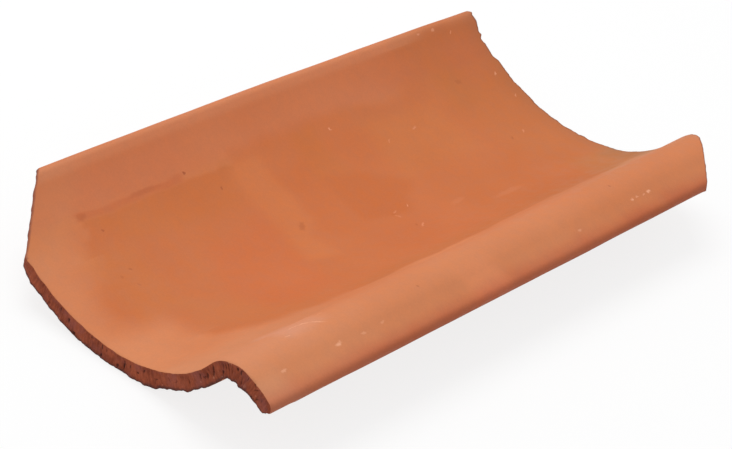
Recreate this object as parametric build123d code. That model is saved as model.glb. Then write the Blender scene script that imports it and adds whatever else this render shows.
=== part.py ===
from build123d import *

import math
import os

# Clay roof tile of the hollow pantile kind, fired in one piece.
#
# An even wall follows an S-shaped section: a wide trough on the left, and a small roll on the right
# that laps over the left lip of the next tile. The tail is at -Y and the head at +Y. Two opposite
# corners are cut off, so that no more than two tiles lie on each other where four of them meet.
# The tile lies as it would on a level floor: on the curved underside of its trough, rolled over
# until its weight is above the line that it stands on. The origin is on the floor, below the
# middle of its box. Millimetres throughout.

# Driving dimensions, with the radii measured on the upper, weathered surface.
LENGTH = 400.0
WALL = 10.0
TROUGH_RADIUS = 154.0
TROUGH_ANGLE = 46.0  # from the trough's lowest line up to the left lip, in degrees of arc
FLANK_RADIUS = 90.0
FLANK_ANGLE = 50.0  # from the trough's lowest line up to the roll
ROLL_RADIUS = 25.0
ROLL_DROP_ANGLE = 26.0  # from the roll's crest over to the right lip
LIP_LENGTH = 17.0  # straight end of the roll
LIP_ROUND = 4.0  # rounding of both long edges
TAIL_CUT_ACROSS = 42.5  # left corner of the tail, from the outermost edge
TAIL_CUT_ALONG = 42.5
HEAD_CUT_ACROSS = 32.0  # right corner of the head
HEAD_CUT_ALONG = 32.0
CORNER_ROUND = 3.0  # where a corner cut meets an end face


def along(angle):
    """The direction at an angle above +X, in the plane of the section."""
    return Vector(math.cos(math.radians(angle)), math.sin(math.radians(angle)))


def wall_line(depth):
    """The S-shaped line at a depth below the upper surface, from the left lip to the right lip."""
    trough_centre = Vector(0, WALL + TROUGH_RADIUS)
    flank_centre = Vector(0, WALL + FLANK_RADIUS)
    roll_centre = flank_centre + along(FLANK_ANGLE - 90) * (FLANK_RADIUS + ROLL_RADIUS)
    trough = CenterArc(trough_centre, TROUGH_RADIUS + depth, 270 - TROUGH_ANGLE, TROUGH_ANGLE)
    flank = CenterArc(flank_centre, FLANK_RADIUS + depth, 270, FLANK_ANGLE)
    roll = CenterArc(roll_centre, ROLL_RADIUS - depth, 90 + FLANK_ANGLE, -FLANK_ANGLE - ROLL_DROP_ANGLE)
    lip = Line(roll @ 1, roll @ 1 + along(-ROLL_DROP_ANGLE) * LIP_LENGTH)
    return [trough, flank, roll, lip]


def section():
    """The closed section, with its trough's lowest line on x = 0 and both long edges rounded."""
    upper = wall_line(0)
    under = wall_line(WALL)
    left_edge = Line(under[0] @ 0, upper[0] @ 0)
    right_edge = Line(upper[-1] @ 1, under[-1] @ 1)
    face = make_face([*upper, right_edge, *under, left_edge])
    for edge in (left_edge, right_edge):
        corners = face.vertices().sort_by_distance(edge @ 0.5)[:2]
        face = fillet(corners, LIP_ROUND)
    return face


def corner_cutter(corner, across, along_length):
    """A standing prism over the triangle that is cut off at a corner of the plan."""
    x, y = corner
    triangle = make_face(Polyline((x, y), (x + across, y), (x, y + along_length), close=True))
    return extrude(triangle, amount=TROUGH_RADIUS, both=True)


def level_tile():
    """The tile with its trough level, before it is laid down."""
    body = extrude(Plane.XZ * section(), amount=LENGTH / 2, both=True)
    box = body.bounding_box()
    body -= corner_cutter((box.min.X, box.min.Y), TAIL_CUT_ACROSS, TAIL_CUT_ALONG)
    body -= corner_cutter((box.max.X, box.max.Y), -HEAD_CUT_ACROSS, -HEAD_CUT_ALONG)
    return fillet(body.edges().filter_by(Axis.Z), CORNER_ROUND)


def lying_down(body):
    """Rolls the tile on its round underside until it balances, and sets it over the origin."""
    weight = body.center(CenterOf.MASS)
    radius = FLANK_RADIUS if weight.X > 0 else TROUGH_RADIUS
    roll_over = math.degrees(math.atan2(weight.X, WALL + radius - weight.Z))
    rolled = Rot(0, roll_over, 0) * body
    box = rolled.bounding_box()
    return Pos(-box.center().X, -box.center().Y, -box.min.Z) * rolled


os.makedirs("parts", exist_ok=True)
export_step(lying_down(level_tile()), "parts/roof_tile.step")
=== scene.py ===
"""Looks of the clay roof tile.

A hollow pantile of fired clay, smooth and orange above, and rough where its ends were cut.
"""

import math
import bpy
import numpy as np
from mathutils import Matrix, Vector


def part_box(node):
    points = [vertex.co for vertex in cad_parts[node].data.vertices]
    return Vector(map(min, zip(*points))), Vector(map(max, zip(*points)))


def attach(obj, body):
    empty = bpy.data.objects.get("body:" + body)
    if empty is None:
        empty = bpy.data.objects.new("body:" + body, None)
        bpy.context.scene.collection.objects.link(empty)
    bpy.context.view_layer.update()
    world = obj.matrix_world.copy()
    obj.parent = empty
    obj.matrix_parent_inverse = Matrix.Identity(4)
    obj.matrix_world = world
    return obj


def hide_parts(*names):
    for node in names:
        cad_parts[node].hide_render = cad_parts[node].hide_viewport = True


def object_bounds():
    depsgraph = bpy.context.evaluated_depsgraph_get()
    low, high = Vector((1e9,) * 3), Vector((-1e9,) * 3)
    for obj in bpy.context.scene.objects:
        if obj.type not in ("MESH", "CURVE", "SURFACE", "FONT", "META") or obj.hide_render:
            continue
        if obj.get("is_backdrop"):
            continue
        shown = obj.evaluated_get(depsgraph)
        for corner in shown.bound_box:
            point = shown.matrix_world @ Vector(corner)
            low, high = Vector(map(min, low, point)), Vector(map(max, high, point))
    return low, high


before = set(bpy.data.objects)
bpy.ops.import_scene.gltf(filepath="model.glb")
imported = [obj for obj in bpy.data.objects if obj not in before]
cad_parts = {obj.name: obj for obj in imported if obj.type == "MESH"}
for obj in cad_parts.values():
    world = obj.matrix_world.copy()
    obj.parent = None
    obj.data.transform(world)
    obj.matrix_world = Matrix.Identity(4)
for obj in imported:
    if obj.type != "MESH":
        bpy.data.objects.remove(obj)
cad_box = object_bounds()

PER_METRE = 1000.0  # millimetres in a metre

# The tile's sizes in millimetres, as in the solid, with radii on the upper surface and angles in degrees.
LENGTH = 400.0
WALL = 10.0
TROUGH_RADIUS, TROUGH_ANGLE = 154.0, 46.0
FLANK_RADIUS, FLANK_ANGLE = 90.0, 50.0
ROLL_RADIUS, ROLL_DROP_ANGLE = 25.0, 26.0
LIP_LENGTH, LIP_ROUND = 17.0, 4.0
TAIL_CUT, HEAD_CUT = 42.5, 32.0  # corner cuts at 45 degrees, from the outermost edges
CORNER_ROUND = 3.0
REST_ROLL = -0.569  # how far the tile has rolled over as it lies, about +Y

# Steps along each stretch of the section, from the left edge to the right one.
END_STEPS, ROUND_STEPS, TROUGH_STEPS, FLANK_STEPS, ROLL_STEPS, LIP_STEPS = 1, 6, 150, 96, 44, 16
CAP_ROWS = 20  # rows of faces through the wall at each end
END_STATIONS = (0.0, 0.4, 0.9, 1.6, 2.6, 4.0, 6.0, 8.8, 12.5)  # distances from either end
STATION_STEP = 4.0

# Places on the developed map. Across is measured over the upper surface from the left edge, and along
# from the middle of the length towards the head, in millimetres. The underside begins further across,
# and the end faces, with the depth below the upper surface, further along.
DEVELOPED_WIDTH = 252.0
UNDERSIDE = 1000.0
TAIL_FACE, HEAD_FACE = 1000.0, 2000.0
# Places of the upper surface, the underside, the tail's face and the head's face in a texture, as left,
# bottom, right and top.
TEXTURE_PLACES = (
    (0.005, 0.170, 0.595, 0.995),
    (0.605, 0.170, 0.995, 0.995),
    (0.005, 0.088, 0.995, 0.160),
    (0.005, 0.005, 0.995, 0.078),
)

# Unevenness of the clay, in millimetres. A cell is about the length of one bump.
WAVE, WAVE_CELL = 0.3, 120.0  # slow waves of the faces
RIPPLE_SHARE, RIPPLE_CELL = 0.35, 34.0  # shorter waves, as a share of those
LEFT_BOW = 2.35  # how much higher the left edge is at its middle than at its ends
LEFT_SAG = 1.6  # how much lower than the solid those ends are
BOW_START, BOW_FULL = 15.0, 115.0  # from the trough's lowest line to the left
BOW_POWER = 1.5
CUT_GRAIN, COARSE_SHARE = 0.35, 0.8  # grain of the ends, and the share of its coarse part
DRAWN_CELL, FINE_CELL, COARSE_CELL = 2.4, 1.6, 9.0
DRAWN_OUT, COARSE_OUT = 0.22, 0.5  # how fast it changes through the wall, as a share of across
CLEAN_EDGE, CLEAN_DEPTH = 0.35, 3.0  # its share at the upper edge, and the depth where it is whole
CUT_REACH = 8.0  # how far along the sides the unevenness of an end is felt
CUT_LEAN = 2.2  # how much less of the tail's corner is cut off at the underside
RIM_WEAR, RIM_WEAR_CHANGE, RIM_WEAR_REACH, RIM_WEAR_CELL = 0.35, 0.25, 0.6, 5.0  # at the ends' upper edges
RAGGED_EDGE, RAGGED_REACH, RAGGED_CELL = 0.7, 1.6, 4.5  # at the ends' lower edges
TAIL_WALL_REACH = 22.0  # how far from the tail the wall is uneven
TAIL_NIBBLE, TAIL_NIBBLED_TO = 0.4, 47.0  # strength, and the place across where it stops
HEAD_NIBBLE, HEAD_NIBBLE_RIGHT = 0.75, 0.4
HEAD_NIBBLE_CHANGE = 110.0  # the place across where the first gives way to the second
TAIL_NIBBLE_CELL, HEAD_NIBBLE_CELL = 4.0, 5.0
WEAR_LINE, RAGGED_LINE, TAIL_NIBBLE_LINE, HEAD_NIBBLE_LINE = 3, 50, 90, 0  # where the noises are read
RIM_SHADE_TO = 46.0  # the painted shade of the tail's upper rim runs from the left edge to this place, along its cut corner
# Places across, each with how far the end stands out there.
TAIL_EDGE = (
    (0, 0.9), (33, 1.1), (39, 1.4), (42, 2.1), (45, 1.8), (48, 0.05), (51, -0.8), (55, -0.35),
    (66, -0.5), (72, 0.0), (95, 0.2), (118, 0.1), (135, -0.7), (158, -1.5), (170, -0.8), (184, 0.0),
    (243, 0.0), (248, 0.6),
)
HEAD_EDGE = (
    (0, 3.9), (2, 4.4), (4, 2.9), (9, 4.4), (17, 0.7), (18.5, 1.7), (21, -0.9), (30, 0.0), (36, 0.0),
    (40, 1.9), (47, 2.0), (53, 0.7), (61, 1.5), (73, 1.4), (83, 0.0), (88, 0.8), (107, 0.1), (115, 1.0),
    (118, 0.0), (122, 1.8), (125, 0.9), (141, 1.6), (150, -0.4), (165, -0.6), (190, -3.0), (211, 1.8),
    (222, 0.2),
)
# Places across, each with how much thicker than elsewhere the wall is at the tail.
TAIL_WALL = (
    (46, -0.8), (55, 0.0), (63, -0.7), (76, -0.3), (86, 0.2), (92, 1.5), (104, 0.4), (114, 0.4),
    (131, -0.4), (138, 0.9), (150, 1.1), (166, -0.6), (174, 0.0), (181, -1.1), (190, 0.0), (204, 0.0),
    (213, -0.8), (218, 0.5), (229, 1.3), (238, 1.0), (246, -0.4), (251, -2.0),
)
# Pits torn out of the tail's face: (across, depth below the upper surface), half width, half height,
# turn in degrees, strength.
TAIL_PITS = (
    ((71, 6.8), 0.5, 0.9, 0, 0.5), ((86.6, 4.4), 0.9, 2.0, 0, 0.75), ((92, 8.8), 1.0, 0.9, 20, 0.9),
    ((106, 1.4), 0.8, 0.5, 0, 0.4), ((113, 8.0), 0.6, 1.4, 20, 0.8), ((117, 2.4), 0.4, 1.1, 0, 0.55),
    ((125.5, 7.6), 0.8, 1.2, 15, 0.7), ((129.8, 4.6), 0.55, 3.2, 9, 1.0),
    ((139.6, 4.9), 1.0, 0.6, -10, 0.7), ((144.3, 2.5), 0.6, 1.3, 55, 0.65),
    ((151.8, 6.0), 0.45, 1.8, 5, 0.6), ((153, 4.9), 1.3, 0.4, 0, 0.5), ((163, 4.0), 0.35, 1.8, 0, 0.4),
    ((168.7, 4.5), 0.4, 1.1, 10, 0.5), ((175, 2.2), 0.35, 1.6, 25, 0.4),
    ((179.3, 4.8), 0.45, 1.4, 22, 0.55), ((190.2, 3.0), 0.4, 1.6, 30, 0.4),
    ((193.0, 4.6), 0.5, 1.0, 30, 0.65), ((195.0, 4.5), 0.75, 1.9, 26, 0.9),
    ((201.0, 3.6), 0.45, 3.6, 34, 0.75), ((209.6, 6.2), 1.1, 1.0, 0, 0.85),
    ((211.2, 3.0), 0.4, 2.4, 6, 0.6), ((213.6, 2.8), 0.4, 2.2, 4, 0.6), ((215.6, 3.2), 0.45, 2.6, 3, 0.7),
    ((217.6, 2.6), 0.4, 1.9, 3, 0.65), ((219.4, 3.6), 0.4, 2.4, 0, 0.55), ((223.0, 1.9), 1.0, 1.1, 0, 0.8),
    ((228.0, 7.0), 0.9, 1.1, 0, 0.5), ((227.0, 1.0), 0.9, 0.5, 0, 0.5), ((237.2, 1.0), 0.5, 1.2, -35, 0.65),
    ((239.2, 2.8), 0.4, 1.8, 38, 0.6), ((242.2, 7.2), 0.5, 1.4, 25, 0.6),
    ((244.6, 4.4), 0.4, 1.4, -10, 0.45),
)
# Crumbs on the tail's face, in the same form.
TAIL_CRUMBS = (
    ((216.4, 0.3), 0.9, 0.6, 0, 0.6), ((218.4, 0.8), 0.5, 0.5, 0, 0.5), ((198.4, 6.8), 0.8, 0.8, 30, 0.45),
    ((200.4, 5.8), 0.5, 0.7, 0, 0.35), ((188.8, 6.2), 0.6, 0.5, 0, 0.35), ((207.0, 8.7), 1.2, 0.4, 0, 0.35),
    ((232.0, 7.2), 1.4, 1.2, 0, 0.25), ((240.6, 6.0), 0.5, 0.8, 30, 0.35), ((222.0, 8.6), 0.9, 0.5, 0, 0.3),
    ((157.0, 7.9), 0.5, 0.6, 0, 0.3), ((97.5, 8.2), 0.6, 0.5, 0, 0.25), ((80.5, 8.8), 0.5, 0.9, 0, 0.35),
)
HEAD_PITS = 40
PIT_DEPTH = 1.3

# Colours as they look on screen, 0 to 255.
CLAY = (200, 111, 60)
DARK_SPECK = (140, 56, 16)
PALE_SPECK = (248, 178, 140)
CUT_DEEP = (134, 57, 31)
CUT_LIGHT = (186, 92, 59)
CUT_BLUSH = (152, 84, 80)
# painted shade for the cut's lower edge, where its ragged burr lies in shadow
CUT_LOWER_EDGE_SHADE = (74, 40, 38)
# painted shade inside the pits and pores of the cut ends
PIT_SHADE_COLOUR = (70, 24, 12)
CRUMB_COLOUR = (214, 140, 112)

# Shares by which red, green and blue change at full strength.
BLOOM = (0.13, 0.40, 0.95)  # a bloom of lime, lighter
LIP_PAINTED_SHADE = (0.15, 0.35, 0.31)  # painted shade along the right long edge, darker
RIM_PAINTED_SHADE = (0.48, 0.52, 0.42)  # painted shade at the upper rims of the head and of the tail's cut corner, darker

# The outline of the stretch of the trough that has no bloom, as places across and along.
BARE_TROUGH = (
    (38, -157), (38, -45), (31, -40), (30, 20), (33, 60), (40, 105), (34, 128), (10, 140), (5, 160),
    (5, 230), (140, 230), (150, 230), (177, 230), (176.5, 140), (176.5, 60), (177, 0), (174.5, -55),
    (168, -90), (160, -118), (152, -140), (146, -150), (124, -158), (117, -163), (113, -180),
    (107, -187), (97, -188), (85, -182), (72, -173), (55, -163), (45, -158),
)
# How soft the bare trough's border is: at the patch on the left, at the roll, at the tail, and elsewhere.
PATCH_BORDER, ROLL_BORDER, TAIL_BORDER, BARE_BORDER = 1.5, 1.7, 13.0, 6.0
PATCH_START, PATCH_END, ROLL_BORDER_START, TAIL_BORDER_END = -160, -42, -70, -130  # places along
TAIL_BORDER_RIGHT = 140  # the place across where the tail's soft border ends
LEFT_BLOOM, ROLL_BLOOM, TAIL_BLOOM = 0.42, 0.70, 0.85  # strengths of the bloom around it
LEFT_BLOOM_END, ROLL_BLOOM_START, TAIL_BLOOM_END = 60.0, 160.0, 165.0  # places across
# Changes of those strengths: how much, and between which places across or along.
LEFT_EDGE_RISE, LEFT_EDGE_START, LEFT_EDGE_END = 0.6, (-2, 4), (5, 11)  # a paler line at the left edge
LEFT_EDGE_WIDTH = 8
LEFT_FADE, LEFT_FADE_LENGTH = 0.38, 42  # towards the head
LEFT_FADE_START, LEFT_EDGE_FADE_START = 90, 122
CREST_RISE, CREST_START = 0.16, (205, 240)
LIP_FADE, LIP_FADE_START = 0.2, (242, 250)
ROLL_TAIL_RISE, ROLL_TAIL_END = 0.38, (-150, -95)
ROLL_HEAD_FADE, ROLL_HEAD_START = 0.12, (40, 90)
TAIL_RIGHT_RISE, TAIL_RIGHT_START = 0.25, (105, 130)
TAIL_BLOOM_FADE, TAIL_BLOOM_START = (-178, -158), 30  # where it ends along, and where it begins across
HAZE, HAZE_CHANGE, HAZE_CELL = 0.05, 0.35, 85  # bloom of the underside
CLOUDS, CLOUD_CELL = 0.10, 30  # small changes of the bloom everywhere
LIP_SHADED = (239, 254)  # places across between which the painted shade of the right long edge grows to full
BROKEN_SHADED = (0.3, 1.8)  # distances from such a rim between which its painted shade ends
# Uneven tones of the upper surface: outline, softness of its border, and what the clay's colour is
# multiplied with inside it.
PATCHES = (
    (((38, -157), (38, -47), (62, -47), (66, -90), (58, -135)), 5, (0.99, 0.995, 0.90)),
    (((74, -46), (118, -52), (150, -60), (150, -105), (118, -112), (84, -100)), 9, (1.03, 0.965, 0.95)),
    (
        ((38, -46), (40, -22), (92, -20), (104, -34), (128, -32), (122, -54), (100, -46)),
        4,
        (1.05, 1.09, 1.08),
    ),
    (((60, -18), (112, -20), (120, 2), (58, 5)), 8, (0.995, 0.95, 0.855)),
    (((96, 62), (118, 36), (112, 4), (70, 8), (72, 28), (84, 44)), 5, (0.97, 0.90, 0.74)),
    (((122, -5), (165, -5), (165, 62), (122, 62)), 9, (1.0, 0.975, 0.96)),
    (((34, 8), (70, 6), (70, 30), (36, 28)), 6, (0.98, 0.99, 0.88)),
    (((46, 62), (92, 62), (96, 130), (50, 126)), 10, (1.01, 1.07, 1.04)),
    (((104, 70), (166, 70), (168, 146), (104, 150)), 14, (0.97, 0.955, 0.89)),
    (((5, 128), (60, 136), (150, 160), (150, 230), (5, 230)), 16, (0.955, 0.985, 0.94)),
    (((36, 140), (62, 138), (62, 166), (36, 166)), 7, (0.965, 0.97, 0.92)),
    (((140, 164), (185, 150), (185, 230), (140, 230)), 8, (0.94, 1.06, 1.06)),
    (((146, 186), (185, 182), (185, 240), (146, 240)), 5, (0.90, 0.96, 0.96)),
    (((5, 186), (185, 186), (185, 240), (5, 240)), 5, (0.95, 0.965, 1.0)),
    (((-20, 194), (280, 194), (280, 240), (-20, 240)), 3, (0.93, 0.975, 1.06)),
    (((-20, -240), (-20, 240), (33, 240), (33, -240)), 4, (0.985, 0.965, 1.02)),
    (((196, -240), (226, -240), (226, -150), (196, -150)), 9, (1.0, 1.05, 1.15)),
    (((176, 90), (216, 90), (216, 230), (176, 230)), 8, (0.955, 1.0, 1.0)),
    (((60, -170), (112, -170), (118, -138), (60, -138)), 8, (1.0, 1.04, 1.0)),
    (((33, -158), (33, -80), (37.5, -80), (37.5, -158)), 1.2, (0.94, 0.84, 0.80)),
    (((34, -52), (34, -44), (40, -44), (40, -52)), 2.0, (0.96, 0.96, 0.92)),
    (((-20, 120), (-20, 240), (12, 240), (12, 120)), 8, (0.955, 0.97, 0.98)),
    (((20, 58), (46, 58), (50, 100), (44, 138), (20, 138)), 8, (0.975, 1.0, 1.07)),
    (((16, 160), (46, 160), (46, 196), (16, 196)), 8, (1.0, 0.99, 1.11)),
    (((10, -150), (32, -150), (32, -70), (10, -70)), 6, (1.0, 1.0, 1.045)),
    (((-5, -158), (8, -140), (40, -165), (60, -190), (46, -205)), 7, (1.0, 1.06, 1.12)),
    (((160, -205), (190, -205), (190, -95), (163, -95)), 7, (0.975, 1.06, 1.17)),
    (((165, -82), (125, -112), (112, -140), (140, -148), (158, -120)), 8, (0.99, 1.045, 1.08)),
    (((128, -150), (155, -148), (158, -172), (128, -176)), 6, (0.985, 0.955, 0.91)),
    (((162, -62), (176.5, -62), (176.5, 230), (162, 230)), 5, (0.96, 0.99, 0.96)),
    (((150, 95), (177, 95), (177, 185), (150, 185)), 8, (0.965, 0.96, 0.91)),
    (((178, -30), (192, -30), (192, 22), (178, 22)), 3.5, (1.05, 1.11, 1.17)),
    (((180, -150), (180, -130), (220, -137), (221, -160), (205, -163)), 5, (1.04, 1.15, 1.42)),
    (((231, -45), (231, -20), (256, -16), (256, -48)), 6, (1.09, 1.08, 1.12)),
    (((234, -210), (234, -184), (256, -176), (256, -210)), 6, (1.0, 1.09, 1.22)),
)
BORDER_WOBBLE, BORDER_CELL = 2.2, 16.0  # how far, and over what length, those borders wander

# Small marks on the upper surface: place, half size across, half size along, turn in degrees, strength.
DARK_MARKS = (
    ((95, -32.5), 4.0, 2.4, -40, 0.25), ((33.5, -76), 1.2, 1.0, 0, 0.6), ((51, -59.5), 1.0, 0.8, 0, 0.45),
    ((47, -147), 1.0, 0.8, 35, 0.42), ((75.5, -149), 0.9, 0.7, 40, 0.32), ((78, -157), 1.4, 1.0, 0, 0.17),
    ((87, -152), 1.2, 0.7, 30, 0.2), ((98, 156), 1.6, 1.0, -30, 0.22), ((44, 157), 3.0, 2.0, 60, 0.17),
    ((228, -72.5), 0.9, 0.8, 0, 0.32), ((224, 100), 0.9, 0.8, 0, 0.42), ((34.8, -108), 1.8, 13.0, 0, 0.13),
    ((35, -154), 2.6, 3.8, 0, 0.2), ((131, 28), 1.4, 0.8, -60, 0.24), ((115, 25), 1.4, 0.8, 60, 0.15),
)
PALE_MARKS = (
    ((41.5, 39), 0.9, 0.8, 0, 0.5), ((113, 40), 1.3, 0.6, -40, 0.4), ((238.5, 121), 1.1, 2.0, 0, 0.8),
    ((238.7, 115.5), 0.6, 1.2, 10, 0.45), ((238.2, 110), 0.6, 1.3, -10, 0.45),
    ((238.5, 105), 0.9, 1.4, 0, 0.7), ((241, 53), 0.8, 1.6, 20, 0.35), ((213.3, -152), 0.6, 4.2, -4, 0.4),
    ((214.7, -146), 0.6, 3.4, -22, 0.55), ((219, -140), 0.5, 5.2, -45, 0.45),
    ((219.3, -161.5), 0.6, 2.0, 0, 0.4), ((211.5, -131), 0.7, 1.4, 10, 0.3),
    ((237.5, -142), 1.2, 2.4, 10, 0.75), ((237.5, -181), 0.9, 2.0, 0, 0.5),
    ((238.5, -124), 0.8, 1.8, 0, 0.35), ((237.5, -109), 0.7, 1.6, 0, 0.3),
    ((48, 191), 2.2, 0.7, -40, 0.45), ((68, 192), 1.9, 0.6, -40, 0.3), ((96, 169), 1.8, 0.7, -45, 0.28),
    ((113.5, 28), 0.7, 2.4, 20, 0.2), ((133, 31), 0.8, 2.6, 35, 0.3), ((5, 162), 0.9, 2.0, 20, 0.4),
    ((4.5, 148), 0.8, 1.6, 0, 0.4), ((10, 176), 1.6, 0.6, -30, 0.3), ((62, 98), 0.8, 2.4, 25, 0.25),
    ((64, 73), 0.7, 2.0, 35, 0.2), ((140, 103), 3.0, 14.0, 0, 0.07), ((127, 70), 2.4, 7.0, 8, 0.06),
    ((117.5, 26), 0.6, 2.6, -60, 0.18),
)

MARK_CORE, MARK_RIM = 0.45, 1.25  # where a mark begins to fade and where it ends, in half sizes

# Noises in the materials: scales per metre, and how far they shift the outlines of marks, in metres.
FACE_GRAIN, FACE_MOTTLE, FACE_BLOTCH, FACE_DRAG = 900.0, 150.0, 45.0, 240.0
FACE_STRAY, FACE_STRAY_REACH = 420.0, 0.003
CUT_FINE, CUT_DRAWN, CUT_CLOUD, CUT_FLUSH, CUT_PORES = 1100.0, 800.0, 70.0, 110.0, 480.0
CUT_STRAY, CUT_STRAY_REACH = 500.0, 0.0016
CUT_RAGGED, CUT_RAGGED_REACH = 260.0, 0.003
LOWER_EDGE_SHADE_DEPTHS = (0.0090, 0.0114)  # depths from which, and at which, the cut's lower edge has painted shade, in metres
TORN_RELIEF = (-0.9, -0.35)  # reliefs at which the painted shade of a pit is darkest and at which it begins, in millimetres
FACE_ROUGHNESS, CUT_ROUGHNESS = (0.62, 0.78), (0.8, 0.95)
FACE_BUMP, CUT_BUMP = (0.25, 0.0008), (0.5, 0.001)  # strength, and height in metres

# Seeds of the noises in the shape and the paint.
ROUGH_SEED, BROAD_SEED = 5, 6
TAIL_SEED, HEAD_SEED, HEAD_PIT_SEED, NIBBLE_SEED = 11, 23, 25, 41
WOBBLE_SEED, DRIFT_SEED, CLOUD_SEED = 31, 32, 33

# Light, floor and camera, in the tile's frame, in metres and watts.
SKY_LIGHT = 0.54
LAMP_PLACE, LAMP_SIZE, LAMP_POWER = (-0.46, 0.1, 1.7), 1.2, 16.2
FLOOR_HALF = 4.0
FLOOR_LIT = 0.6  # as it lights the tile
FLOOR_PALE, FLOOR_GLOW = 0.18, 0.82  # as it is seen
CAMERA_EYE = (0.66593, -0.83169, 0.66085)
CAMERA_FORWARD = (-0.537283, 0.665124, -0.518592)
CAMERA_UP = (-0.436703, 0.306643, 0.84573)
CAMERA_LENS, CAMERA_SENSOR = 105.03, 36.0  # millimetres
CAMERA_CLIP = (0.05, 50.0)
WHITE = (1, 1, 1, 1)


def soft_step(x, low, high):
    t = np.clip((x - low) / (high - low), 0, 1)
    return t * t * (3 - 2 * t)


def soft_ramp(x, radius):
    """The larger of x and 0, with the corner between them rounded."""
    return (x + np.sqrt(x * x + radius * radius)) / 2


def between(table, places):
    """Values of a table of places and values, at any places."""
    return np.interp(places, *zip(*table))


def linear(colour):
    """A colour as it looks on screen, 0 to 255, as the linear light that shaders take."""
    c = np.array(colour, float) / 255
    return np.where(c <= 0.04045, c / 12.92, ((c + 0.055) / 1.055) ** 2.4)


class Noise:
    """Smooth, repeatable noise over the developed surface, about -1 to 1."""

    CELLS = 128  # before it repeats
    SHIFT = (37.3, 71.9)  # where the map's zero falls among them
    LAYERS = 3
    FIRST_TURN, NEXT_TURN = 0.6, 1.1  # turns of the layers, so that their grids don't line up
    GAIN = 1.6  # brings the averaged layers back to the full range

    def __init__(self, seed):
        self.table = np.random.default_rng(seed).uniform(-1, 1, (self.CELLS, self.CELLS))

    def layer(self, u, v, cell):
        a, b = u / cell + self.SHIFT[0], v / cell + self.SHIFT[1]
        i, j = np.floor(a).astype(int), np.floor(b).astype(int)
        s, t = soft_step(a - i, 0, 1), soft_step(b - j, 0, 1)

        def at(di, dj):
            return self.table[(i + di) % self.CELLS, (j + dj) % self.CELLS]

        low = at(0, 0) * (1 - s) + at(1, 0) * s
        high = at(0, 1) * (1 - s) + at(1, 1) * s
        return low * (1 - t) + high * t

    def __call__(self, u, v, cell):
        total, weight = 0, 0
        for k in range(self.LAYERS):
            turn = self.FIRST_TURN + self.NEXT_TURN * k
            across = u * math.cos(turn) - v * math.sin(turn)
            along = u * math.sin(turn) + v * math.cos(turn)
            total = total + self.layer(across, along, cell / 2**k) / 2**k
            weight += 1 / 2**k
        return total / weight * self.GAIN


def polar(degrees):
    """Unit vectors at angles above +X in the plane of the section."""
    turn = np.radians(degrees)
    return np.stack([np.cos(turn), np.sin(turn)], axis=-1)


def arc(centre, radius, start, end, steps):
    return centre + radius * polar(np.linspace(start, end, steps + 1))


def straight(start, end, steps):
    return start + (end - start) * np.linspace(0, 1, steps + 1)[:, None]


def section_lines():
    """The upper and the lower line of the section, point for point opposite each other."""
    trough = np.array([0, WALL + TROUGH_RADIUS])
    flank = np.array([0, WALL + FLANK_RADIUS])
    roll = flank + polar(FLANK_ANGLE - 90) * (FLANK_RADIUS + ROLL_RADIUS)
    left, right = 270 - TROUGH_ANGLE, -ROLL_DROP_ANGLE
    ahead, outward = polar(right), polar(right + 90)
    first = trough + polar(left) * (TROUGH_RADIUS + WALL / 2)
    last = roll + outward * (ROLL_RADIUS - WALL / 2) + ahead * LIP_LENGTH
    lines = []
    for depth, side in ((0, 1), (WALL, -1)):
        reach = TROUGH_RADIUS + depth + side * LIP_ROUND
        turn = left + math.degrees(math.asin(LIP_ROUND / reach))
        left_centre = trough + polar(turn) * reach
        left_round = arc(left_centre, LIP_ROUND, left - 90, turn - (90 + 90 * side), ROUND_STEPS)
        lip_start = roll + outward * (ROLL_RADIUS - depth)
        lip_end = lip_start + ahead * (LIP_LENGTH - LIP_ROUND)
        right_centre = lip_end - outward * side * LIP_ROUND
        right_round = arc(right_centre, LIP_ROUND, right + 90 * side, right, ROUND_STEPS)
        stretches = [
            straight(first, left_round[0], END_STEPS),
            left_round,
            arc(trough, TROUGH_RADIUS + depth, turn, 270, TROUGH_STEPS),
            arc(flank, FLANK_RADIUS + depth, 270, 270 + FLANK_ANGLE, FLANK_STEPS),
            arc(roll, ROLL_RADIUS - depth, 90 + FLANK_ANGLE, 90 - ROLL_DROP_ANGLE, ROLL_STEPS),
            straight(lip_start, lip_end, LIP_STEPS),
            right_round,
            straight(right_round[-1], last, END_STEPS),
        ]
        lines.append(np.vstack([stretches[0]] + [s[1:] for s in stretches[1:]]))
    return lines


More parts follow.
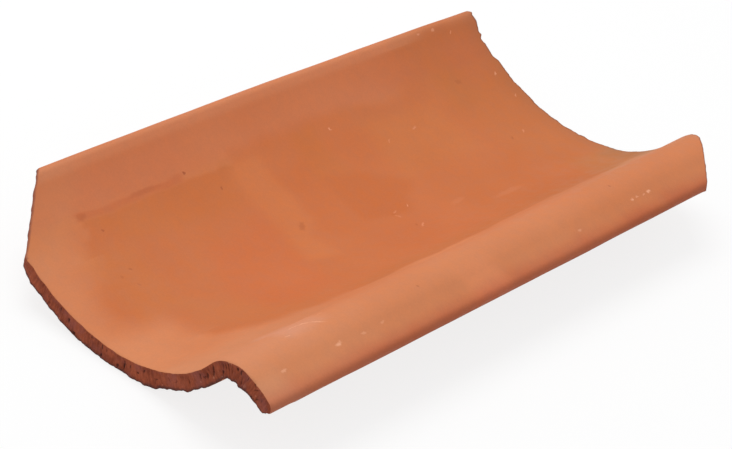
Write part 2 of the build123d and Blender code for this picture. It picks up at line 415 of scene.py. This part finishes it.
class Section:
    """The section as one ring: along the upper line to the right, and back along the lower line."""

    def __init__(self):
        self.upper, self.lower = section_lines()
        self.count = len(self.upper)
        self.low_x = min(self.upper[:, 0].min(), self.lower[:, 0].min())
        self.high_x = max(self.upper[:, 0].max(), self.lower[:, 0].max())

        # Across, 0 is where the left edge's corner would be without its rounding.
        steps = np.linalg.norm(np.diff(self.upper, axis=0), axis=1)
        across = np.concatenate([[0], np.cumsum(steps)])
        lowest = np.argmin(self.upper[:, 1])
        self.u = across + (math.radians(TROUGH_ANGLE) * TROUGH_RADIUS - across[lowest])

        self.ring = np.vstack([self.upper, self.lower[-2:0:-1]])
        self.ring_u = np.concatenate([self.u, self.u[-2:0:-1]])
        self.is_lower = np.arange(len(self.ring)) >= self.count
        self.edges = [0, self.count - 1]  # the middles of the long edges
        self.ring_depth = np.where(self.is_lower, WALL, 0.0)
        self.ring_depth[self.edges] = WALL / 2
        ahead = np.roll(self.ring, -1, axis=0) - np.roll(self.ring, 1, axis=0)
        outward = np.stack([-ahead[:, 1], ahead[:, 0]], 1)
        self.outward = outward / np.linalg.norm(ahead, axis=1)[:, None]

    def ends(self, x, depth):
        """Where the tile begins and ends along its length, by place across and depth."""
        tail_cut = TAIL_CUT - CUT_LEAN * depth / WALL
        tail = -LENGTH / 2 + soft_ramp(tail_cut - (x - self.low_x), CORNER_ROUND)
        head = LENGTH / 2 - soft_ramp(HEAD_CUT - (self.high_x - x), CORNER_ROUND)
        return tail, head


def torn_pits(seed, count):
    """Pits strewn over a cut end, in the form of the tail's."""
    rng = np.random.default_rng(seed)
    for _ in range(count):
        place = rng.uniform(0, DEVELOPED_WIDTH), rng.uniform(3.0, WALL + 0.5)
        half_width, half_height = rng.uniform(0.4, 0.7), rng.uniform(0.6, 1.8)
        turn, strength = rng.uniform(-12, 24), rng.uniform(0.25, 1.0)
        yield place, half_width, half_height, turn, strength


def cut_relief(u, depth, seed, pits):
    """How far a cut end stands out: grain that the wire drew through the wall, with pits torn out."""
    fine, coarse = Noise(seed), Noise(seed + 1)
    drawn = 0.6 * fine(u, depth * DRAWN_OUT, DRAWN_CELL) + 0.4 * fine(u, depth, FINE_CELL)
    clean_edge = CLEAN_EDGE + (1 - CLEAN_EDGE) * soft_step(depth, 0, CLEAN_DEPTH)
    relief = CUT_GRAIN * (drawn + COARSE_SHARE * coarse(u, depth * COARSE_OUT, COARSE_CELL)) * clean_edge
    for (at_u, at_depth), wide, tall, turn, strength in pits:
        c, s = math.cos(math.radians(turn)), math.sin(math.radians(turn))
        across = ((u - at_u) * c + (depth - at_depth) * s) / wide
        down = ((depth - at_depth) * c - (u - at_u) * s) / tall
        relief = relief - PIT_DEPTH * strength * np.exp(-(across**2) - down**2)
    return relief


def tail_relief(u, depth):
    return cut_relief(u, depth, TAIL_SEED, TAIL_PITS)


def head_relief(u, depth):
    return cut_relief(u, depth, HEAD_SEED, torn_pits(HEAD_PIT_SEED, HEAD_PITS))


def tail_edge(u):
    """How far the tail stands out, nibbled only at its cut corner."""
    nibbled = Noise(NIBBLE_SEED)(u, np.full_like(u, TAIL_NIBBLE_LINE), TAIL_NIBBLE_CELL)
    return between(TAIL_EDGE, u) + TAIL_NIBBLE * nibbled * (u < TAIL_NIBBLED_TO)


def head_edge(u):
    """How far the head stands out, nibbled more on the left."""
    nibbled = Noise(NIBBLE_SEED)(u, np.full_like(u, HEAD_NIBBLE_LINE), HEAD_NIBBLE_CELL)
    strength = np.where(u < HEAD_NIBBLE_CHANGE, HEAD_NIBBLE, HEAD_NIBBLE_RIGHT)
    return between(HEAD_EDGE, u) + nibbled * strength


def station_places():
    """Distances from the tail at which the section is repeated, closer together at the ends."""
    near = np.array(END_STATIONS)
    first, last = near[-1], LENGTH - near[-1]
    middle = np.linspace(first, last, round((last - first) / STATION_STEP) + 1)
    return np.concatenate([near, middle[1:-1], LENGTH - near[::-1]])


def unevenness(section, along, from_tail, from_head):
    """How far the sides stand out from the plain section."""
    u = np.broadcast_to(section.ring_u, along.shape)
    rough, broad = Noise(ROUGH_SEED), Noise(BROAD_SEED)
    wave = WAVE * (broad(u, along, WAVE_CELL) + RIPPLE_SHARE * rough(u, along, RIPPLE_CELL))
    side = np.where(section.is_lower, -1.0, 1.0)
    side[section.edges] = 0
    from_end = np.minimum(from_tail, from_head)
    wear = RIM_WEAR + RIM_WEAR_CHANGE * rough(u, np.full_like(along, WEAR_LINE), RIM_WEAR_CELL)
    worn = np.exp(-((from_end / RIM_WEAR_REACH) ** 2)) * wear
    ragged = RAGGED_EDGE * rough(u, RAGGED_LINE * np.sign(along), RAGGED_CELL)
    ragged = np.exp(-((from_end / RAGGED_REACH) ** 2)) * ragged
    thicker = between(TAIL_WALL, u) * (1 - soft_step(from_tail, 0, TAIL_WALL_REACH))
    return wave * side + np.where(section.is_lower, ragged + thicker, -worn)


def side_points(section, stations):
    """Points of the sides at each station, in millimetres, with the trough level."""
    u, depth = section.ring_u, section.ring_depth
    from_tail, from_head = stations[:, None], LENGTH - stations[:, None]
    tail, head = section.ends(section.ring[:, 0], depth)
    tail_out = tail_relief(u, depth) + tail_edge(u)
    head_out = head_relief(u, depth) + head_edge(u)
    along = tail + from_tail * (head - tail) / LENGTH
    along = along - tail_out * (1 - soft_step(from_tail, 0, CUT_REACH))
    along = along + head_out * (1 - soft_step(from_head, 0, CUT_REACH))

    offset = unevenness(section, along, from_tail, from_head)
    across = section.ring[:, 0] + offset * section.outward[:, 0]
    height = section.ring[:, 1] + offset * section.outward[:, 1]
    bow = LEFT_BOW * (1 - (along / (LENGTH / 2)) ** 2) - LEFT_SAG
    share = np.clip((-across - BOW_START) / (BOW_FULL - BOW_START), 0, 1) ** BOW_POWER
    return np.stack([across, along, height + bow * share], -1)


def side_places(section, stations, along):
    """Where the sides' points are on the developed map, and how far from a rim with painted shade."""
    from_tail, from_head = stations[:, None], LENGTH - stations[:, None]
    from_shaded_tail_rim = from_tail + np.where(section.ring_u < RIM_SHADE_TO, 0, LENGTH)
    places = {
        "u": section.ring_u + np.where(section.is_lower, UNDERSIDE, 0.0),
        "v": along,
        "depth": section.ring_depth,
        "to_rim": np.minimum(from_head, from_shaded_tail_rim),
        "relief": 0.0,
    }
    return {name: np.broadcast_to(values, along.shape).ravel() for name, values in places.items()}


def end_rows(section, upper_rim, lower_rim, sign):
    """Rows of points between the rims of the tail, with sign -1, or the head, with 1, and their places."""
    inner = slice(1, section.count - 1)
    u = section.u[inner]
    relief_of, edge_of = (tail_relief, tail_edge) if sign < 0 else (head_relief, head_edge)
    for row in range(1, CAP_ROWS):
        share = row / CAP_ROWS
        x = section.upper[inner, 0] * (1 - share) + section.lower[inner, 0] * share
        depth = np.full_like(u, share * WALL)
        tail, head = section.ends(x, depth)
        end = tail if sign < 0 else head
        relief = relief_of(u, depth)
        points = upper_rim[inner] * (1 - share) + lower_rim[inner] * share
        points[:, 1] = end + sign * (relief + edge_of(u))
        to_rim = np.full_like(u, LENGTH)
        yield points, {"u": u, "v": end, "depth": depth, "to_rim": to_rim, "relief": relief}


def end_faces(grid, sign):
    """Quads between the rows of an end face, and triangles at its two tips, turned outward."""
    above, below = grid[:-1], grid[1:]
    quads = np.stack([above[:, 1:-2], above[:, 2:-1], below[:, 2:-1], below[:, 1:-2]], -1)
    left_tips = np.stack([above[:, 0], above[:, 1], below[:, 1]], -1)
    right_tips = np.stack([above[:, -2], above[:, -1], below[:, -2]], -1)
    return quads.reshape(-1, 4)[:, ::sign], np.vstack([left_tips, right_tips])[:, ::sign]


def tile_shape(section):
    """The tile's points, its faces, which of those are cut, and the points' places on the map."""
    stations = station_places()
    sides = side_points(section, stations)
    points = [sides.reshape(-1, 3)]
    places = [side_places(section, stations, sides[..., 1])]
    total = len(points[0])
    index = np.arange(total).reshape(len(stations), -1)
    following = np.roll(index, -1, axis=1)
    side_quads = np.stack([index[:-1], following[:-1], following[1:], index[1:]], -1).reshape(-1, 4)

    quads, tips = [], []
    for sign, ring in ((-1, index[0]), (1, index[-1])):
        upper_rim = ring[: section.count]
        lower_rim = np.concatenate([ring[:1], ring[: section.count - 2 : -1]])
        rows = [upper_rim]
        for row_points, row_places in end_rows(section, points[0][upper_rim], points[0][lower_rim], sign):
            new = total + np.arange(len(row_points))
            total += len(row_points)
            rows.append(np.concatenate([upper_rim[:1], new, upper_rim[-1:]]))
            points.append(row_points)
            places.append(row_places)
        rows.append(lower_rim)
        new_quads, new_tips = end_faces(np.array(rows), sign)
        quads.append(new_quads)
        tips.append(new_tips)

    polygons = np.vstack([side_quads, *quads]).tolist() + np.vstack(tips).tolist()
    cut = np.arange(len(polygons)) >= len(side_quads)
    places = {name: np.concatenate([p[name] for p in places]) for name in places[0]}
    return np.vstack(points), polygons, cut, places


def rolled(x, z):
    """Turns places of the level tile about +Y, as it lies."""
    turn = math.radians(REST_ROLL)
    return x * math.cos(turn) + z * math.sin(turn), z * math.cos(turn) - x * math.sin(turn)


def lie_down(points, section):
    """Sets the points where the solid lies, in metres, with none of them below the floor."""
    low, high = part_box("roof_tile")
    x, z = rolled(points[:, 0], points[:, 2])
    plain_x, plain_z = rolled(section.ring[:, 0], section.ring[:, 1])
    x = x / PER_METRE + (low.x + high.x) / 2 - (plain_x.min() + plain_x.max()) / 2 / PER_METRE
    z = z / PER_METRE + low.z - plain_z.min() / PER_METRE
    return np.stack([x, points[:, 1] / PER_METRE, np.maximum(z, low.z)], -1)


def within(outline, u, v):
    """How far a place lies inside an outline, in millimetres, below 0 outside it."""
    nearest, odd = np.full(len(u), np.inf), np.zeros(len(u), bool)
    for (au, av), (bu, bv) in zip(outline, outline[1:] + outline[:1]):
        du, dv = bu - au, bv - av
        share = np.clip(((u - au) * du + (v - av) * dv) / (du * du + dv * dv), 0, 1)
        nearest = np.minimum(nearest, np.hypot(u - au - share * du, v - av - share * dv))
        spans = (av > v) != (bv > v)
        odd ^= spans & (u < au + (v - av) / (dv or 1) * du)  # a side without dv spans nothing
    return np.where(odd, nearest, -nearest)


def bare_border(u, v):
    """How soft the bare trough's border is: sharp at the patch on the left and along the roll."""
    at_patch = (u < LEFT_BLOOM_END) & (v > PATCH_START) & (v < PATCH_END)
    at_roll = (u > ROLL_BLOOM_START) & (v > ROLL_BORDER_START)
    at_tail = (u > LEFT_BLOOM_END) & (u < TAIL_BORDER_RIGHT) & (v < TAIL_BORDER_END)
    return np.select([at_tail, at_patch, at_roll], [TAIL_BORDER, PATCH_BORDER, ROLL_BORDER], BARE_BORDER)


def bloom_strength(u, v):
    """How strong the bloom of lime is on the left, on the roll, and across the tail."""
    left_edge = soft_step(u, *LEFT_EDGE_START) - soft_step(u, *LEFT_EDGE_END)
    fading = np.where(u > LEFT_EDGE_WIDTH, LEFT_FADE_START, LEFT_EDGE_FADE_START)
    left = LEFT_BLOOM + LEFT_EDGE_RISE * left_edge
    left = left - LEFT_FADE * soft_step(v, fading, fading + LEFT_FADE_LENGTH)
    roll = ROLL_BLOOM + CREST_RISE * soft_step(u, *CREST_START) - LIP_FADE * soft_step(u, *LIP_FADE_START)
    roll = roll + ROLL_TAIL_RISE * (1 - soft_step(v, *ROLL_TAIL_END))
    roll = roll - ROLL_HEAD_FADE * soft_step(v, *ROLL_HEAD_START)
    tail = TAIL_BLOOM + TAIL_RIGHT_RISE * soft_step(u, *TAIL_RIGHT_START)
    strength = np.where(u < LEFT_BLOOM_END, left, roll)
    near_tail = (1 - soft_step(v, *TAIL_BLOOM_FADE)) * soft_step(u, TAIL_BLOOM_START, LEFT_BLOOM_END)
    return strength + (tail - strength) * (near_tail * (u < TAIL_BLOOM_END))


def paint(mesh, places):
    """Stores the clay's large colour differences, with painted shade along the right long edge and at the
    upper rims of the ends, and the relief of its ends, on the vertices.
    """
    u, v = places["u"], places["v"]
    above = u < UNDERSIDE / 2
    at_u = u + BORDER_WOBBLE * Noise(WOBBLE_SEED)(u, v, BORDER_CELL)
    at_v = v + BORDER_WOBBLE * Noise(DRIFT_SEED)(u, v, BORDER_CELL)
    tone = np.ones((len(u), 3))
    for outline, soft, colour in PATCHES:
        amount = above * soft_step(within(outline, at_u, at_v), -soft, soft)
        tone *= 1 + amount[:, None] * (np.array(colour) - 1)

    border = bare_border(u, v)
    covered = 1 - soft_step(within(BARE_TROUGH, at_u, at_v), -border, border)
    cloud = Noise(CLOUD_SEED)
    haze = HAZE + HAZE_CHANGE * soft_step(cloud(u, v * 0.6, HAZE_CELL), -0.3, 0.7)
    bloom = np.where(above, bloom_strength(u, v) * covered, haze) + CLOUDS * cloud(u, v, CLOUD_CELL)
    # painted shade: the right long edge is darkened on the upper surface and on the underside alike
    painted_lip_shade = soft_step(at_u - np.where(above, 0, UNDERSIDE), *LIP_SHADED)
    # painted shade: the upper surface is darkened close to the head's rim and the tail's cut corner, for
    # the cut face in shade seen edge-on
    painted_rim_shade = above * (1 - soft_step(places["to_rim"], *BROKEN_SHADED))
    tone *= 1 + bloom[:, None] * np.array(BLOOM)
    tone *= 1 - painted_lip_shade[:, None] * np.array(LIP_PAINTED_SHADE)
    tone *= 1 - painted_rim_shade[:, None] * np.array(RIM_PAINTED_SHADE)

    tint = np.column_stack([linear(CLAY) * tone, np.ones(len(u))])
    colour = mesh.color_attributes.new("tint", "FLOAT_COLOR", "POINT")
    colour.data.foreach_set("color", tint.astype(np.float32).ravel())
    relief = mesh.attributes.new("relief", "FLOAT", "POINT")
    relief.data.foreach_set("value", places["relief"].astype(np.float32))


def lay_flat(mesh, places, cut):
    """Adds the developed map in metres, and a map for textures with each part at its own place."""
    corners = np.zeros(len(mesh.loops), np.int32)
    mesh.loops.foreach_get("vertex_index", corners)
    counts = np.zeros(len(mesh.polygons), np.int32)
    mesh.polygons.foreach_get("loop_total", counts)
    u, v, depth = (places[name][corners] for name in ("u", "v", "depth"))
    is_cut = np.repeat(cut, counts)
    is_head = v > 0
    is_lower = u > UNDERSIDE / 2
    across = u - np.where(is_lower, UNDERSIDE, 0)
    of_underside = np.repeat(np.logical_or.reduceat(is_lower, np.cumsum(counts) - counts), counts)

    first = across + np.where(of_underside & ~is_cut, UNDERSIDE, 0)
    second = np.where(is_cut, depth + np.where(is_head, HEAD_FACE, TAIL_FACE), v)
    developed = np.stack([first, second], -1) / PER_METRE

    part = np.where(is_cut, np.where(is_head, 3, 2), of_underside)
    left, bottom, right, top = np.array(TEXTURE_PLACES)[part].T
    share_across = (across - across.min()) / np.ptp(across)
    share_along = np.where(is_cut, depth / WALL, (v - v.min()) / np.ptp(v))
    placed = np.stack([left + share_across * (right - left), bottom + share_along * (top - bottom)], -1)
    for name, uv in (("developed", developed), ("OFBake", placed)):
        layer = mesh.uv_layers.new(name=name)
        layer.uv.foreach_set("vector", uv.astype(np.float32).ravel())


class Nodes:
    """Short calls for building the shader of a material or a world."""

    NOISE_RANGE = (0.3, 0.7)  # nearly all values of a noise texture
    GLOSS = 0.35  # specular level of unglazed clay

    def __init__(self, owner):
        owner.use_nodes = True
        self.owner = owner
        self.tree = owner.node_tree
        self.tree.nodes.clear()

    def feed(self, socket, value):
        """Links a socket to another one, or sets it."""
        if isinstance(value, bpy.types.NodeSocket):
            self.tree.links.new(value, socket)
        elif isinstance(value, np.ndarray):
            socket.default_value = (*value.tolist(), 1.0)
        else:
            socket.default_value = value

    def add(self, kind, inputs=(), **settings):
        node = self.tree.nodes.new(kind)
        for name, value in settings.items():
            setattr(node, name, value)
        for socket, value in dict(inputs).items():
            self.feed(node.inputs[socket], value)
        return node

    def math(self, operation, *values):
        return self.add("ShaderNodeMath", enumerate(values), operation=operation).outputs[0]

    def vector(self, operation, *values):
        return self.add("ShaderNodeVectorMath", enumerate(values), operation=operation).outputs[0]

    def stretched(self, place, along):
        """A place whose second axis is scaled."""
        return self.add("ShaderNodeMapping", {"Vector": place, "Scale": (1.0, along, 1.0)}).outputs[0]

    def noise(self, place, scale, detail=3.0, roughness=0.55):
        inputs = {"Vector": place, "Scale": scale, "Detail": detail, "Roughness": roughness}
        return self.add("ShaderNodeTexNoise", inputs).outputs["Fac"]

    def span(self, value, low, high, to_low=0.0, to_high=1.0):
        """A value's range, mapped smoothly to another one."""
        inputs = {"Value": value, "From Min": low, "From Max": high, "To Min": to_low, "To Max": to_high}
        return self.add("ShaderNodeMapRange", inputs, interpolation_type="SMOOTHSTEP").outputs["Result"]

    def vary(self, noise, low, high):
        return self.span(noise, *self.NOISE_RANGE, low, high)

    def mix(self, factor, a, b, blend="MIX"):
        inputs = {0: factor, 6: a, 7: b}
        return self.add("ShaderNodeMix", inputs, data_type="RGBA", blend_type=blend).outputs[2]

    def clay(self, colour, roughness, height, strength, distance):
        """Ends a clay's shader, with bumps of a height, and returns its material."""
        bump = {"Height": height, "Strength": strength, "Distance": distance}
        inputs = {
            "Base Color": colour,
            "Roughness": roughness,
            "Normal": self.add("ShaderNodeBump", bump).outputs[0],
            "Specular IOR Level": self.GLOSS,
        }
        surface = self.add("ShaderNodeBsdfPrincipled", inputs).outputs[0]
        self.add("ShaderNodeOutputMaterial", {"Surface": surface})
        return self.owner


def strayed(n, place, developed, scale, reach):
    """The developed map, moved about by a fine noise, so that marks on it have uneven outlines."""
    noise = n.add("ShaderNodeTexNoise", {"Vector": place, "Scale": scale, "Detail": 2.0}).outputs["Color"]
    centred = n.vector("SUBTRACT", noise, (0.5, 0.5, 0.5))
    return n.vector("ADD", developed, n.vector("MULTIPLY", centred, (reach, reach, 0)))


def marks(n, place, table):
    """The strongest of a table's marks at each place, as soft ellipses."""
    total = None
    for (u, v), half_u, half_v, turn, strength in table:
        inputs = {
            "Vector": place,
            "Location": (u / PER_METRE, v / PER_METRE, 0),
            "Rotation": (0, 0, math.radians(turn)),
            "Scale": (half_u / PER_METRE, half_v / PER_METRE, 1),
        }
        local = n.add("ShaderNodeMapping", inputs, vector_type="TEXTURE").outputs[0]
        away = n.add("ShaderNodeVectorMath", {0: local}, operation="LENGTH").outputs["Value"]
        mark = n.span(away, MARK_CORE, MARK_RIM, strength, 0.0)
        total = mark if total is None else n.math("MAXIMUM", total, mark)
    return total


def fired_clay():
    """The faces: painted clay with a fine grain and specks, and drag marks on the underside."""
    n = Nodes(bpy.data.materials.new("fired_clay_face"))
    place = n.add("ShaderNodeTexCoord").outputs["Object"]
    developed = n.add("ShaderNodeUVMap", uv_map="developed").outputs[0]
    marked = strayed(n, place, developed, FACE_STRAY, FACE_STRAY_REACH)
    dark, pale = marks(n, marked, DARK_MARKS), marks(n, marked, PALE_MARKS)
    grain, mottle = n.noise(place, FACE_GRAIN, 4.0), n.noise(place, FACE_MOTTLE, 4.0)
    drag = n.noise(n.stretched(developed, 0.05), FACE_DRAG, 2.0)
    blotch = n.noise(place, FACE_BLOTCH, 4.0, 0.6)
    across = n.add("ShaderNodeSeparateXYZ", {0: developed}).outputs[0]
    halfway = UNDERSIDE / 2 / PER_METRE
    below = n.span(across, halfway, halfway + 0.1)  # 1 on the underside

    worn = n.math("ADD", n.vary(drag, -0.025, 0.025), n.vary(blotch, -0.06, 0.06))
    shade = n.math("ADD", n.vary(mottle, 0.97, 1.03), n.vary(grain, -0.02, 0.02))
    shade = n.math("ADD", shade, n.math("MULTIPLY", below, worn))
    grey = n.add("ShaderNodeCombineColor", {"Red": shade, "Green": shade, "Blue": shade}).outputs[0]
    tint = n.add("ShaderNodeAttribute", attribute_name="tint").outputs["Color"]
    colour = n.mix(1.0, tint, grey, "MULTIPLY")
    colour = n.mix(dark, colour, linear(DARK_SPECK))
    colour = n.mix(pale, colour, linear(PALE_SPECK))

    height = n.math("ADD", n.math("MULTIPLY", grain, 0.35), n.math("MULTIPLY", mottle, 0.65))
    height = n.math("SUBTRACT", height, dark)
    height = n.math("ADD", height, n.math("MULTIPLY", below, n.math("MULTIPLY", drag, 0.6)))
    return n.clay(colour, n.vary(mottle, *FACE_ROUGHNESS), height, *FACE_BUMP)


def cut_clay():
    """The cut ends: rough, redder clay with drawn grain, pores, pits and crumbs, with painted shade in the
    pits and pores and along the lower edge.
    """
    n = Nodes(bpy.data.materials.new("fired_clay_cut"))
    place = n.add("ShaderNodeTexCoord").outputs["Object"]
    developed = n.add("ShaderNodeUVMap", uv_map="developed").outputs[0]
    drawn = n.noise(n.stretched(developed, 0.2), CUT_DRAWN)
    pores = n.span(n.noise(n.stretched(developed, 0.35), CUT_PORES, 1.0), 0.68, 0.74)
    cloud, blush = n.noise(developed, CUT_CLOUD, 2.0), n.noise(developed, CUT_FLUSH, 2.0)
    grain = n.noise(place, CUT_FINE, 4.0, 0.65)
    depth = n.math("FRACT", n.add("ShaderNodeSeparateXYZ", {0: developed}).outputs[1])
    ragged = n.math("ADD", depth, n.math("MULTIPLY", n.noise(developed, CUT_RAGGED), CUT_RAGGED_REACH))
    relief = n.add("ShaderNodeAttribute", attribute_name="relief").outputs["Fac"]
    torn = strayed(n, place, developed, CUT_STRAY, CUT_STRAY_REACH)
    pits, crumbs = [
        marks(n, torn, [((u, TAIL_FACE + down), *form) for (u, down), *form in table])
        for table in (TAIL_PITS, TAIL_CRUMBS)
    ]

    tone = n.math("ADD", n.span(drawn, 0.35, 0.65, 0.0, 0.45), n.span(cloud, 0.35, 0.65, 0.0, 0.55))
    colour = n.mix(tone, linear(CUT_DEEP), linear(CUT_LIGHT))
    colour = n.mix(n.span(blush, 0.45, 0.65, 0.0, 0.4), colour, linear(CUT_BLUSH))
    # painted shade along the cut's lower edge
    colour = n.mix(n.span(ragged, *LOWER_EDGE_SHADE_DEPTHS, 0.0, 0.8), colour, linear(CUT_LOWER_EDGE_SHADE))
    # painted shade in the pores, in the deepest parts of the relief and in the pits
    painted_hollow_shade = n.math("MAXIMUM", n.math("MULTIPLY", pores, 0.8), n.span(relief, *TORN_RELIEF, 0.9, 0.0))
    painted_hollow_shade = n.math("MAXIMUM", painted_hollow_shade, pits)
    colour = n.mix(painted_hollow_shade, colour, linear(PIT_SHADE_COLOUR))
    colour = n.mix(crumbs, colour, linear(CRUMB_COLOUR))

    height = n.math("ADD", n.math("MULTIPLY", drawn, 0.5), n.math("MULTIPLY", grain, 0.5))
    height = n.math("SUBTRACT", height, pores)
    return n.clay(colour, n.vary(grain, *CUT_ROUGHNESS), height, *CUT_BUMP)


def in_scene(name, data):
    obj = bpy.data.objects.new(name, data)
    bpy.context.scene.collection.objects.link(obj)
    return obj


def pantile():
    """The tile, as one object."""
    section = Section()
    points, polygons, cut, places = tile_shape(section)
    mesh = bpy.data.meshes.new("pantile")
    mesh.from_pydata(lie_down(points, section).tolist(), [], polygons)
    mesh.update()
    mesh.polygons.foreach_set("use_smooth", np.ones(len(polygons), bool))
    mesh.polygons.foreach_set("material_index", cut.astype(np.int32))
    paint(mesh, places)
    lay_flat(mesh, places, cut)
    mesh.materials.append(fired_clay())
    mesh.materials.append(cut_clay())
    return in_scene("pantile", mesh)


def seen(n):
    """1 for rays that show the surroundings, straight or in a gloss, and 0 for those that gather light."""
    rays = n.add("ShaderNodeLightPath").outputs
    straight_or_gloss = n.math("MAXIMUM", rays["Is Camera Ray"], rays["Is Glossy Ray"])
    return n.math("MAXIMUM", straight_or_gloss, rays["Is Transmission Ray"])


def lay_floor():
    """A white floor that keeps the tile's shadow."""
    n = Nodes(bpy.data.materials.new("white_floor"))
    lit = n.add("ShaderNodeBsdfDiffuse", {"Color": (FLOOR_LIT, FLOOR_LIT, FLOOR_LIT, 1)}).outputs[0]
    pale = n.add("ShaderNodeBsdfDiffuse", {"Color": (FLOOR_PALE, FLOOR_PALE, FLOOR_PALE, 1)}).outputs[0]
    glow = n.add("ShaderNodeEmission", {"Color": WHITE, "Strength": FLOOR_GLOW}).outputs[0]
    white = n.add("ShaderNodeAddShader", {0: pale, 1: glow}).outputs[0]
    shown = n.add("ShaderNodeMixShader", {0: seen(n), 1: lit, 2: white}).outputs[0]
    n.add("ShaderNodeOutputMaterial", {"Surface": shown})
    mesh = bpy.data.meshes.new("floor")
    corners = [(x * FLOOR_HALF, y * FLOOR_HALF, 0) for x, y in ((-1, -1), (1, -1), (1, 1), (-1, 1))]
    mesh.from_pydata(corners, [], [(0, 1, 2, 3)])
    mesh.materials.append(n.owner)
    floor = in_scene("floor", mesh)
    floor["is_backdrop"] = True


def light_sky():
    """An even white sky, at full white where it is seen."""
    n = Nodes(bpy.data.worlds.new("sky"))
    light = n.add("ShaderNodeBackground", {"Color": WHITE, "Strength": SKY_LIGHT}).outputs[0]
    white = n.add("ShaderNodeBackground", {"Color": WHITE, "Strength": 1.0}).outputs[0]
    shown = n.add("ShaderNodeMixShader", {0: seen(n), 1: light, 2: white}).outputs[0]
    n.add("ShaderNodeOutputWorld", {"Surface": shown})
    bpy.context.scene.world = n.owner


def hang_lamp():
    light = bpy.data.lights.new("key", "AREA")
    light.shape, light.size, light.energy = "DISK", LAMP_SIZE, LAMP_POWER
    lamp = in_scene("key", light)
    lamp.location = LAMP_PLACE
    lamp.rotation_euler = (-Vector(LAMP_PLACE)).to_track_quat("-Z", "Y").to_euler()


def set_camera():
    forward, up = Vector(CAMERA_FORWARD).normalized(), Vector(CAMERA_UP).normalized()
    side = forward.cross(up).normalized()
    up = side.cross(forward)
    data = bpy.data.cameras.new("camera")
    data.sensor_fit, data.sensor_width, data.lens = "HORIZONTAL", CAMERA_SENSOR, CAMERA_LENS
    data.clip_start, data.clip_end = CAMERA_CLIP
    camera = in_scene("camera", data)
    turn = Matrix((side, up, -forward)).transposed().to_4x4()
    camera.matrix_world = Matrix.Translation(CAMERA_EYE) @ turn
    bpy.context.scene.camera = camera


tile = pantile()
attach(tile, "root")
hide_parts("roof_tile")

lay_floor()
light_sky()
hang_lamp()
set_camera()
bpy.context.scene.view_settings.view_transform = "Standard"

boxes = {"cad": cad_box, "visual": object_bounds()}
{name: [list(map(float, corner)) for corner in box] for name, box in boxes.items()}
